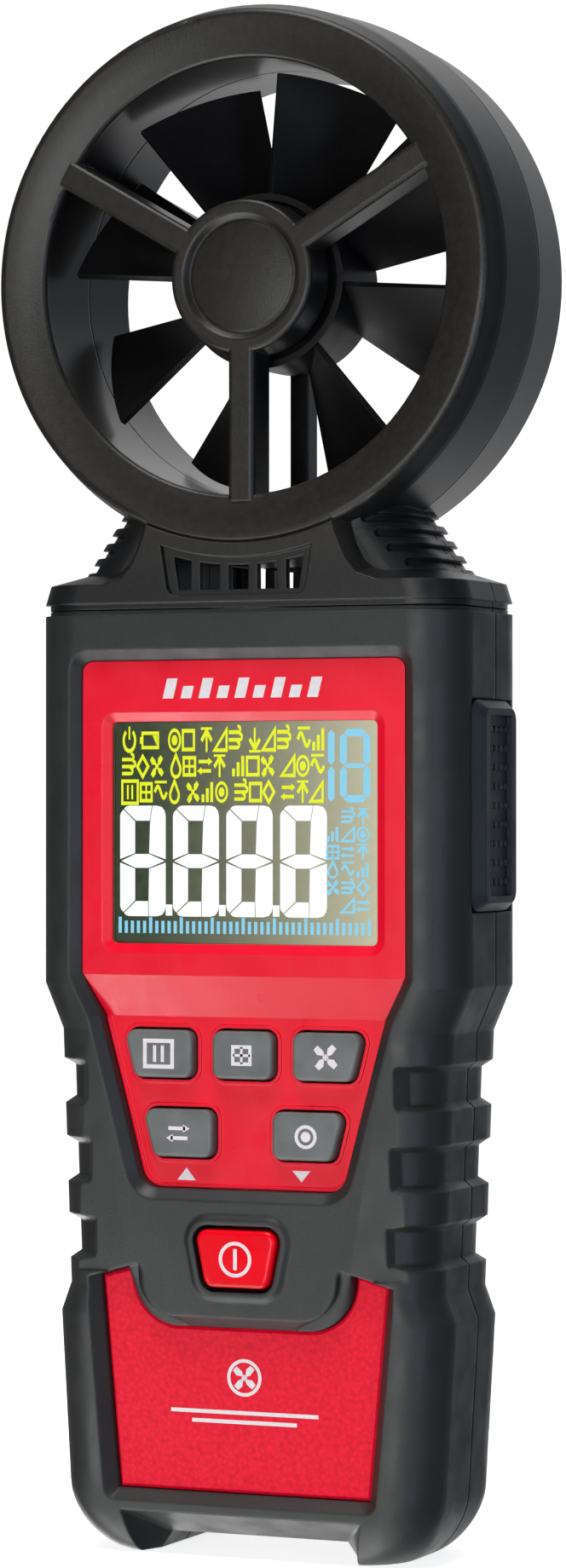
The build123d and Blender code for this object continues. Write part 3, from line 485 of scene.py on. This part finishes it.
def bar(x0, z0, x1, z1):
    return [[(x0, z0), (x1, z0), (x1, z1), (x0, z1)]]


def moved(polygons, dx, dz, scale=1.0):
    return [[(dx + scale * x, dz + scale * z) for x, z in polygon] for polygon in polygons]


def flat_sign(name, polygons, surface_y, material, body, thick=PRINT_THICK):
    """Thin printed solid that stands on a front-facing surface; sizes in millimetres."""
    mesh = bpy.data.meshes.new(name)
    bm = bmesh.new()
    for polygon in polygons:
        area = sum(
            a[0] * b[1] - b[0] * a[1] for a, b in zip(polygon, polygon[1:] + polygon[:1])
        )
        points = polygon if area > 0 else polygon[::-1]
        front = [bm.verts.new((x * MM, (surface_y - thick) * MM, z * MM)) for x, z in points]
        back = [bm.verts.new((x * MM, surface_y * MM, z * MM)) for x, z in points]
        bm.faces.new(front)
        bm.faces.new(back[::-1])
        for index in range(len(points)):
            follow = (index + 1) % len(points)
            bm.faces.new((front[index], back[index], back[follow], front[follow]))
    bm.normal_update()
    bm.to_mesh(mesh)
    bm.free()
    piece = bpy.data.objects.new(name, mesh)
    bpy.context.scene.collection.objects.link(piece)
    mesh.materials.append(material)
    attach(piece, body)
    return piece


# ---- small signs, each about 3 wide and 3 high round the origin ------------------------------
def sign_power():
    return ribbon(arc(0, 0, 1.25, 125, 415), 0.36) + bar(-0.18, 0.1, 0.18, 1.65)


def sign_battery():
    frame_line = [(-1.7, -0.85), (1.7, -0.85), (1.7, 0.85), (-1.7, 0.85)]
    fill = [[(0.5, 0.6), (1.4, 0.6), (1.4, -0.6)]]
    return ribbon(frame_line, 0.3, True) + bar(-2.25, -0.4, -1.8, 0.4) + fill


def sign_up():
    head = ribbon([(-1.1, -0.1), (0, 1.1), (1.1, -0.1)], 0.4)
    return head + bar(-0.2, -1.4, 0.2, 0.8) + bar(-1.2, 1.2, 1.2, 1.5)


def sign_down():
    return [[(x, -z) for x, z in polygon] for polygon in sign_up()]


def sign_mean():
    wave = [(-1.3 + 0.13 * k, 0.75 * math.sin(0.628 * k * 0.5)) for k in range(21)]
    return ribbon(wave, 0.38) + bar(-1.3, 1.15, 1.3, 1.5)


def sign_dot():
    return ribbon(arc(0, 0, 1.2, 0, 342, 19), 0.3, True) + disc(0, 0, 0.62)


def sign_wave():
    lines = []
    for z, reach in ((0.9, 1.0), (0.0, 1.35), (-0.9, 0.8)):
        lines += ribbon([(-1.4, z), (reach - 0.3, z)], 0.34)
        lines += ribbon(arc(reach - 0.3, z + 0.34, 0.34, -90, 130, 10), 0.3)
    return lines


def sign_drop():
    bulb = arc(0, -0.4, 0.95, 150, 390, 16)
    return ribbon(bulb + [(0, 1.45)], 0.34, True)


def sign_box():
    return ribbon([(-1.2, -1.1), (1.2, -1.1), (1.2, 1.1), (-1.2, 1.1)], 0.34, True)


def sign_grid():
    return sign_box() + bar(-0.17, -1.1, 0.17, 1.1) + bar(-1.2, -0.17, 1.2, 0.17)


def sign_slope():
    return ribbon([(-1.3, -1.2), (1.3, -1.2), (1.3, 1.2)], 0.36, True)


def sign_bars():
    return bar(-1.3, -1.3, -0.7, -0.3) + bar(-0.35, -1.3, 0.25, 0.5) + bar(0.6, -1.3, 1.2, 1.3)


def sign_pause():
    return bar(-0.95, -1.3, -0.4, 1.3) + bar(0.4, -1.3, 0.95, 1.3)


def sign_hold():
    rim = [(-1.7, -1.45), (1.7, -1.45), (1.7, 1.45), (-1.7, 1.45)]
    return moved(sign_pause(), 0, 0, 0.72) + ribbon(rim, 0.34, True)


def sign_diamond():
    return ribbon([(0, -1.3), (1.15, 0), (0, 1.3), (-1.15, 0)], 0.36, True)


def sign_swap():
    top = ribbon([(-1.3, 0.6), (1.0, 0.6)], 0.34) + [[(0.7, 0.1), (1.6, 0.6), (0.7, 1.1)]]
    low = ribbon([(-1.0, -0.6), (1.3, -0.6)], 0.34) + [[(-0.7, -1.1), (-0.7, -0.1), (-1.6, -0.6)]]
    return top + low


def sign_fan(blades=4):
    loop = [(0.15, 0.1), (0.75, 0.3), (1.3, 1.0), (0.8, 1.45), (0.25, 1.0)]
    wings = []
    for index in range(blades):
        turn = 2 * math.pi * index / blades
        cos, sin = math.cos(turn), math.sin(turn)
        wings.append([(x * cos - z * sin, x * sin + z * cos) for x, z in loop])
    return wings + disc(0, 0, 0.35, 12)


# ---- seven-segment figures --------------------------------------------------------------------
FIGURE = (
    ((0.55, 13.98), (0.85, 14.28), (1.30, 14.40), (4.58, 14.40), (4.24, 12.44), (2.30, 12.44)),
    ((0.00, 7.42), (2.15, 8.22), (2.15, 12.36), (0.46, 13.88), (0.12, 13.50), (0.00, 13.10)),
    (
        (6.55, 7.42), (6.55, 13.10), (6.40, 13.72), (6.00, 14.22),
        (5.30, 14.40), (4.68, 14.40), (4.32, 12.30), (4.18, 8.22),
    ),
    ((0.16, 7.20), (2.18, 8.10), (4.16, 8.10), (6.39, 7.20), (4.16, 6.30), (2.18, 6.30)),
    ((0.00, 6.98), (0.00, 1.30), (0.12, 0.90), (0.46, 0.52), (2.15, 2.04), (2.15, 6.18)),
    (
        (6.55, 6.98), (4.18, 6.18), (4.10, 2.10), (4.16, 0.00),
        (5.30, 0.00), (6.00, 0.18), (6.40, 0.68), (6.55, 1.30),
    ),
    ((0.55, 0.42), (0.85, 0.12), (1.30, 0.00), (4.06, 0.00), (4.00, 1.96), (2.30, 1.96)),
)


def segment(x0, z0, x1, z1, half):
    """Six-sided bar between two points, flat along X or Z."""
    if abs(x1 - x0) > abs(z1 - z0):
        top = [(x1, z1), (x1 - half, z1 + half), (x0 + half, z0 + half)]
        return top + [(x0, z0), (x0 + half, z0 - half), (x1 - half, z1 - half)]
    left = [(x0, z0), (x0 - half, z0 + half), (x0 - half, z1 - half)]
    return left + [(x1, z1), (x0 + half, z1 - half), (x0 + half, z0 + half)]


def small_eight(left, low, width, height, thick, gap):
    half = thick / 2
    x0, x1 = left + half, left + width - half
    z0, z1 = low + half, low + height - half
    mid = (z0 + z1) / 2
    shapes = [segment(x0 + gap, z, x1 - gap, z, half) for z in (z0, z1)]
    shapes.append(segment(x0 + gap, mid, x1 - gap, mid, half * 0.6))
    for x in (x0, x1):
        shapes.append(segment(x, z0 + gap, x, mid - gap, half))
        shapes.append(segment(x, mid + gap, x, z1 - gap, half))
    return shapes


def small_one(left, low, height, thick, gap):
    x = left + thick / 2
    mid = low + height / 2
    ends = ((low + gap, mid - gap), (mid + gap, low + height - gap))
    return [segment(x, z0, x, z1, thick / 2) for z0, z1 in ends]


def display_figures():
    shapes = []
    for index, left in enumerate(DIGIT_LEFTS):
        shapes += moved([list(part) for part in FIGURE], left, DIGIT_LOW_Z)
        if index < 3:
            right = left + DIGIT_W
            shapes += bar(right + 0.02, DIGIT_LOW_Z + 0.1, right + 0.95, DIGIT_LOW_Z + 1.55)
    return shapes


def display_bars():
    shapes = []
    pitch = 2 * BAR_HALF_X / (BAR_COUNT - 1)
    for index in range(BAR_COUNT):
        x = -BAR_HALF_X + pitch * index
        top = BAR_HIGH_Z + (0.5 if index % 5 == 0 else 0.0)
        shapes += bar(x - 0.22, BAR_LOW_Z, x + 0.22, top)
    return shapes


def sign_row(signs, left, right, mid_z, height):
    """Signs side by side between two edges; each entry is a sign maker and its width."""
    tall = height / 3.0
    step = (right - left) / sum(width for _, width in signs)
    shapes = []
    x = left
    for maker, width in signs:
        centre = x + step * width / 2
        for shape in maker():
            shapes.append([(centre + 0.97 * step * px, mid_z + tall * pz) for px, pz in shape])
        x += step * width
    return shapes


def display_rows():
    gap = (list, 1.0)
    row_1 = [
        (sign_power, 3.6), (sign_battery, 5.2), gap,
        (sign_dot, 3.0), (sign_box, 2.8), gap,
        (sign_up, 2.8), (sign_slope, 3.0), (sign_wave, 3.2), gap,
        (sign_down, 2.8), (sign_slope, 3.0), (sign_wave, 3.2), gap,
        (sign_mean, 3.0), (sign_bars, 3.0),
    ]
    row_2 = [
        (sign_wave, 3.2), (sign_diamond, 2.6), (sign_fan, 3.2), gap,
        (sign_drop, 2.6), (sign_grid, 2.9), (sign_swap, 3.4), (sign_up, 2.6), gap,
        (sign_bars, 3.0), (sign_box, 2.8), (sign_fan, 3.2), gap,
        (sign_slope, 3.0), (sign_dot, 2.9), (sign_mean, 3.0),
    ]
    row_3 = [
        (sign_hold, 3.9), (sign_grid, 3.0), (sign_mean, 3.2), (sign_drop, 2.6), gap,
        (sign_fan, 3.2), (sign_bars, 3.0), (sign_dot, 2.9), gap,
        (sign_wave, 3.2), (sign_box, 2.9), (sign_diamond, 2.6), gap,
        (sign_swap, 3.4), (sign_up, 2.7), (sign_slope, 3.0),
    ]
    return (
        sign_row(row_1, -17.5, 11.6, 105.7, 3.3)
        + sign_row(row_2, -17.5, 11.5, 102.3, 3.05)
        + sign_row(row_3, -17.5, 11.3, 98.95, 3.0)
    )


def display_units():
    """Six short lines of small signs at the right of the figures."""
    makers = (
        (sign_wave, sign_up),
        (sign_bars, sign_slope, sign_dot),
        (sign_grid, sign_swap, sign_up),
        (sign_drop, sign_mean, sign_bars),
        (sign_fan, sign_wave, sign_diamond),
        (sign_slope, sign_swap),
    )
    shapes = []
    for line, signs in enumerate(makers):
        z = UNIT_TOP_Z - UNIT_PITCH * line
        row = [(maker, 3.1) for maker in signs]
        shapes += sign_row(row, UNIT_RIGHT_X - 2.1 * len(signs), UNIT_RIGHT_X, z, 2.15)
    return shapes


def scale_figures():
    one = small_one(11.9, SCALE_LOW_Z, SCALE_HEIGHT, 0.9, 0.1)
    return one + small_eight(13.55, SCALE_LOW_Z, 4.2, SCALE_HEIGHT, 0.95, 0.1)


def build_display():
    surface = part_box("lcd_glass")[0].y / MM
    for name, shapes, material in (
        ("lcd_figures", display_figures(), SIGN_WHITE),
        ("lcd_bars", display_bars(), SIGN_BLUE),
        ("lcd_signs", display_rows(), SIGN_YELLOW),
        ("lcd_units", display_units(), SIGN_BLUE),
        ("lcd_scale", scale_figures(), SIGN_BLUE),
    ):
        shapes = moved(shapes, LCD_SHIFT, 0.0)
        flat_sign(name, shapes, surface, material, "body", LCD_PRINT_THICK)


# ---- printed legends ---------------------------------------------------------------------------
def build_legends():
    key_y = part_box("key_set")[0].y / MM
    centres = {}
    for name in ("key_hold", "key_set", "key_func", "key_unit", "key_rec"):
        low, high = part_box(name)
        centres[name] = ((low.x + high.x) / 2 / MM, (low.z + high.z) / 2 / MM)
    legends = {
        "key_hold": moved(sign_hold(), 0, 0, 1.15),
        "key_set": moved(sign_grid(), 0, 0, 1.0),
        "key_func": moved(sign_fan(), 0, 0, 1.15),
        "key_unit": moved(sign_swap(), 0, 0, 1.05),
        "key_rec": moved(sign_dot(), 0, 0, 1.1),
    }
    for name, shapes in legends.items():
        x, z = centres[name]
        flat_sign(name + "_legend", moved(shapes, x, z, 1.0), key_y, INK, name)

    power_low, power_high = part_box("power_key")
    power_x = (power_low.x + power_high.x) / 2 / MM
    power_z = (power_low.z + power_high.z) / 2 / MM
    power = ribbon(arc(0, 0, 2.06, 0, 350, 35), 0.34, True) + bar(-0.25, -1.35, 0.25, 1.35)
    power = moved(power, power_x, power_z)
    flat_sign("power_legend", power, power_low.y / MM, INK, "power_key")

    rise = [(-9.8, 48.6), (-7.2, 48.6), (-8.5, 50.2)]
    fall = [(6.5, 50.25), (7.75, 48.8), (9.0, 50.25)]
    flat_sign("arrow_marks", [rise, fall], KEY_FIELD_Y, INK, "body")


def build_marks():
    """Plain generic marks in place of the lettering on the panels."""
    top_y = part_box("upper_panel")[0].y / MM
    low_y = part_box("lower_panel")[0].y / MM
    slants = []
    for index in range(9):
        x = -11.2 + 2.55 * index
        tall = 2.6 if index % 2 == 0 else 1.6
        top_x = x + 0.25 * tall
        top_z = UPPER_MARK_Z + tall
        foot = [(x, UPPER_MARK_Z), (x + 1.5, UPPER_MARK_Z)]
        slants.append(foot + [(top_x + 1.5, top_z), (top_x, top_z)])
    flat_sign("upper_mark", slants, top_y, INK, "body")
    fan = moved(sign_fan() + ribbon(arc(0, 0, 2.0, 0, 350, 35), 0.3, True), 0, 23.4, 1.1)
    stripes = bar(-10.4, 18.6, 10.4, 19.1) + bar(-7.4, 17.4, 7.4, 17.9)
    flat_sign("lower_mark", fan + stripes, low_y, INK, "body")


# ---- studio -------------------------------------------------------------------------------------
def area_light(name, place, target, size, watts, colour=(1.0, 1.0, 1.0), size_y=None):
    data = bpy.data.lights.new(name, "AREA")
    data.energy = watts
    data.color = colour
    data.size = size
    if size_y:
        data.shape = "RECTANGLE"
        data.size_y = size_y
    lamp = bpy.data.objects.new(name, data)
    lamp.location = place
    lamp.rotation_euler = (Vector(target) - Vector(place)).to_track_quat("-Z", "Y").to_euler()
    lamp.visible_camera = False
    bpy.context.scene.collection.objects.link(lamp)
    return lamp


def build_floor():
    mesh = bpy.data.meshes.new("floor")
    bm = bmesh.new()
    half = 3.0
    corners = ((-half, -half, 0.0), (half, -half, 0.0), (half, half, 0.0), (-half, half, 0.0))
    bm.faces.new([bm.verts.new(corner) for corner in corners])
    bm.to_mesh(mesh)
    bm.free()
    floor = bpy.data.objects.new("floor", mesh)
    bpy.context.scene.collection.objects.link(floor)
    n = Nodes("floor_white")
    faint = n.remap(n.noise(6.0, 2.0), 0.3, 0.7)
    n.set(Base_Color=n.mix(faint, (0.90, 0.90, 0.90), (0.93, 0.93, 0.93)), Roughness=0.7)
    n.set(Emission_Color=(1.0, 1.0, 1.0), Emission_Strength=FLOOR_GLOW)
    mesh.materials.append(n.material)
    floor.visible_shadow = False
    floor.visible_glossy = False
    floor.visible_diffuse = False


def build_world():
    """White tent: bright behind and straight ahead, dim at the sides, cool on the right."""
    world = bpy.data.worlds.new("studio")
    world.use_nodes = True
    tree = world.node_tree
    coords = tree.nodes.new("ShaderNodeTexCoord")
    split = tree.nodes.new("ShaderNodeSeparateXYZ")
    tree.links.new(coords.outputs["Generated"], split.inputs["Vector"])

    def ramp(axis, low, high):
        node = tree.nodes.new("ShaderNodeMapRange")
        node.interpolation_type = "SMOOTHSTEP"
        node.inputs["From Min"].default_value = low
        node.inputs["From Max"].default_value = high
        tree.links.new(split.outputs[axis], node.inputs["Value"])
        return node.outputs["Result"]

    def blend(factor, a, b):
        node = tree.nodes.new("ShaderNodeMix")
        node.data_type = "RGBA"
        tree.links.new(factor, node.inputs[0])
        for index, value in ((6, a), (7, b)):
            if isinstance(value, tuple):
                node.inputs[index].default_value = (*value, 1.0)
            else:
                tree.links.new(value, node.inputs[index])
        return node.outputs[2]

    front = blend(ramp("X", -0.70, 0.00), FRONT_LEFT_SKY, FRONT_SKY)
    front = blend(ramp("X", 0.10, 0.60), front, FRONT_RIGHT_SKY)
    front = blend(ramp("Z", 0.00, 0.45), front, FRONT_TOP_SKY)
    back = blend(ramp("X", -0.60, -0.28), BACK_LEFT_SKY, BACK_SKY)
    back = blend(ramp("X", -0.02, 0.42), back, BACK_RIGHT_SKY)
    lit = blend(ramp("Y", 0.05, 0.55), front, back)
    seen = tree.nodes.new("ShaderNodeLightPath").outputs["Is Camera Ray"]
    background = tree.nodes["Background"]
    tree.links.new(blend(seen, lit, BACK_SKY), background.inputs["Color"])
    bpy.context.scene.world = world


def build_lights():
    area_light("front", (0.05, -1.20, 0.00), (0, 0, 0.11), 0.7, 8.0)
    below = area_light("below", (-0.20, -0.22, -0.48), (0, 0, 0.10), 0.6, 6.2)
    below.visible_diffuse = False
    area_light("above", (-0.04, -0.24, 0.86), (0, 0, 0.05), 0.4, 4.6)
    area_light("left_low", (-0.41, 0.43, -0.30), (0, 0, 0.05), 0.3, 1.2)
    glare = area_light("glare", (-0.092, -0.121, -0.006), (-0.020, -0.0115, 0.0725), 0.03, 0.055)
    glare.visible_diffuse = False
    area_light("right_strip", (0.62, -0.52, 0.06), (0, 0, 0.06), 0.12, 1.25, (0.62, 0.74, 1.0), 0.5)


def build_camera():
    data = bpy.data.cameras.new("camera")
    data.sensor_width = 36.0
    data.lens = 108.2
    data.shift_x = 0.0003
    data.shift_y = 0.0007
    data.clip_start = 0.01
    camera = bpy.data.objects.new("camera", data)
    place = Vector((0.24861, -0.56634, 0.09675))
    camera.location = place
    aim = Vector((0.00500, -0.01051, 0.09984))
    camera.rotation_euler = (aim - place).to_track_quat("-Z", "Y").to_euler()
    bpy.context.scene.collection.objects.link(camera)
    bpy.context.scene.camera = camera


dress_nodes()
build_display()
build_legends()
build_marks()
build_floor()
build_world()
build_lights()
build_camera()
bpy.context.scene.view_settings.view_transform = "Standard"
